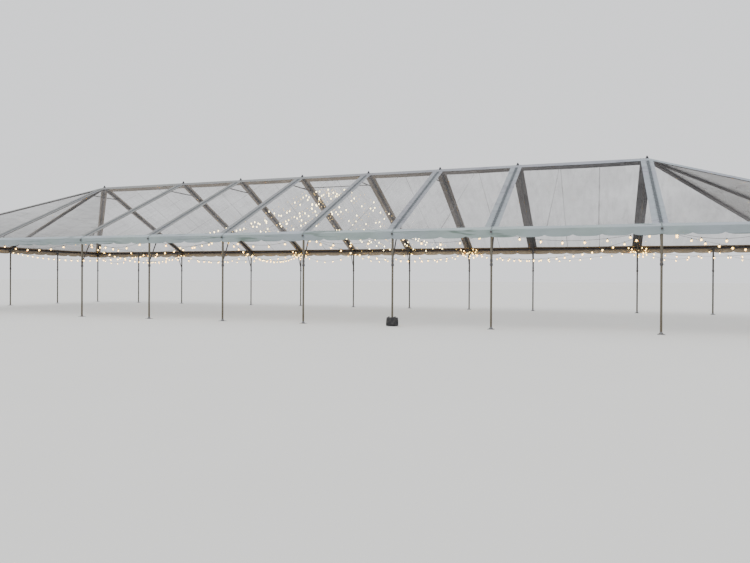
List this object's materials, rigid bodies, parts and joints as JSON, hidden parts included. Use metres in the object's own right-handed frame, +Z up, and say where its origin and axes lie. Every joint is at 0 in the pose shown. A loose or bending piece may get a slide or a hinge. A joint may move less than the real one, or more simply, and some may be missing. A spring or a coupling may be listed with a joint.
{
  "type": "clear-roofed frame marquee tent",
  "caption": "Long open-sided frame marquee with hipped ends, clear vinyl roof with pale borders and valance, slim telescopic legs and festoon light strings.",
  "frame": {"origin": "on the ground in the middle of the floor, under the middle of the ridge", "axes": "+X along the ridge to the right seen from the front, +Y to the back, +Z up"},
  "size_m": [36.776, 12.392, 5.95],
  "materials": {
    "frame_metal": "mill-finish extruded tube, dulled by handling",
    "roof_vinyl": "clear vinyl sheet with welded seams",
    "border_vinyl": "white coated fabric, lightly creased",
    "light_cable": "black rubber cable",
    "bulb_glass": "warm glowing bulb",
    "ballast_bag": "black woven canvas"
  },
  "bodies": {
    "root": {"ridge_tube": "frame_metal", "front_eave_rail": "frame_metal", "back_eave_rail": "frame_metal", "left_eave_rail": "frame_metal", "right_eave_rail": "frame_metal", "rafter_frame_1": "frame_metal", "rafter_frame_2": "frame_metal", "rafter_frame_3": "frame_metal", "rafter_frame_4": "frame_metal", "rafter_frame_5": "frame_metal", "rafter_frame_6": "frame_metal", "rafter_frame_7": "frame_metal", "rafter_frame_8": "frame_metal", "left_end_rafter": "frame_metal", "right_end_rafter": "frame_metal", "front_left_hip_rafter": "frame_metal", "back_left_hip_rafter": "frame_metal", "front_right_hip_rafter": "frame_metal", "back_right_hip_rafter": "frame_metal", "front_leg_1": "frame_metal", "front_leg_2": "frame_metal", "front_leg_3": "frame_metal", "front_leg_4": "frame_metal", "front_leg_5": "frame_metal", "front_leg_6": "frame_metal", "front_leg_7": "frame_metal", "front_leg_8": "frame_metal", "front_leg_9": "frame_metal", "front_leg_10": "frame_metal", "front_leg_11": "frame_metal", "front_leg_12": "frame_metal", "back_leg_1": "frame_metal", "back_leg_2": "frame_metal", "back_leg_3": "frame_metal", "back_leg_4": "frame_metal", "back_leg_5": "frame_metal", "back_leg_6": "frame_metal", "back_leg_7": "frame_metal", "back_leg_8": "frame_metal", "back_leg_9": "frame_metal", "back_leg_10": "frame_metal", "back_leg_11": "frame_metal", "back_leg_12": "frame_metal", "left_end_leg_1": "frame_metal", "left_end_leg_2": "frame_metal", "left_end_leg_3": "frame_metal", "right_end_leg_1": "frame_metal", "right_end_leg_2": "frame_metal", "right_end_leg_3": "frame_metal", "light_bar": "frame_metal", "front_cover": "roof_vinyl", "back_cover": "roof_vinyl", "left_cover": "roof_vinyl", "right_cover": "roof_vinyl", "front_light_string": "light_cable", "back_light_string": "light_cable", "left_cross_light_string": "light_cable", "right_cross_light_string": "light_cable", "leg_weight": "ballast_bag"}
  },
  "joints": []
}
